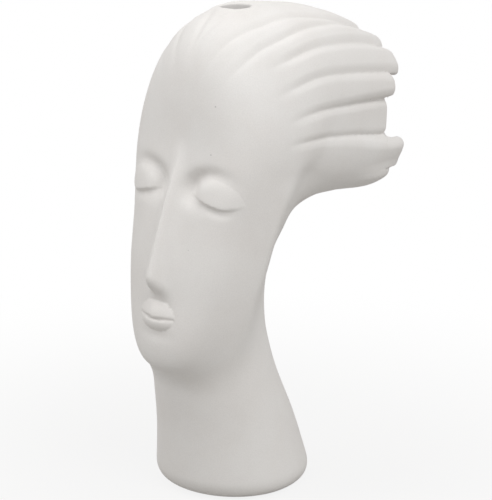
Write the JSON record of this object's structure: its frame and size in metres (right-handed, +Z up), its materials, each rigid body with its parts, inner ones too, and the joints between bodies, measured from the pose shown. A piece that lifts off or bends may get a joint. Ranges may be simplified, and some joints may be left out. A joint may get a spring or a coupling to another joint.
{
  "type": "face vase",
  "caption": "Hollow matte bisque vase shaped as a stylised head on a leaning neck, hair swept back in thick locks, with a round stem mouth in the crown.",
  "frame": {"origin": "centre of the flat round foot, on the surface it stands on", "axes": "+Z up, the face looks along -Y, +X towards the face's own left, hair swept towards +Y"},
  "size_m": [0.1192, 0.1802, 0.3016],
  "materials": {
    "bisque": "matte unglazed bisque"
  },
  "bodies": {
    "root": {"face_casting": "bisque", "neck_casting": "bisque", "base_plate": "bisque", "hair_lock_centre": "bisque", "hair_lock_left_1": "bisque", "hair_lock_left_2": "bisque", "hair_lock_left_3": "bisque", "hair_lock_left_4": "bisque", "hair_lock_left_5": "bisque", "hair_lock_left_6": "bisque", "hair_lock_left_7": "bisque", "hair_lock_right_1": "bisque", "hair_lock_right_2": "bisque", "hair_lock_right_3": "bisque", "hair_lock_right_4": "bisque", "hair_lock_right_5": "bisque", "hair_lock_right_6": "bisque", "hair_lock_right_7": "bisque"}
  },
  "joints": []
}
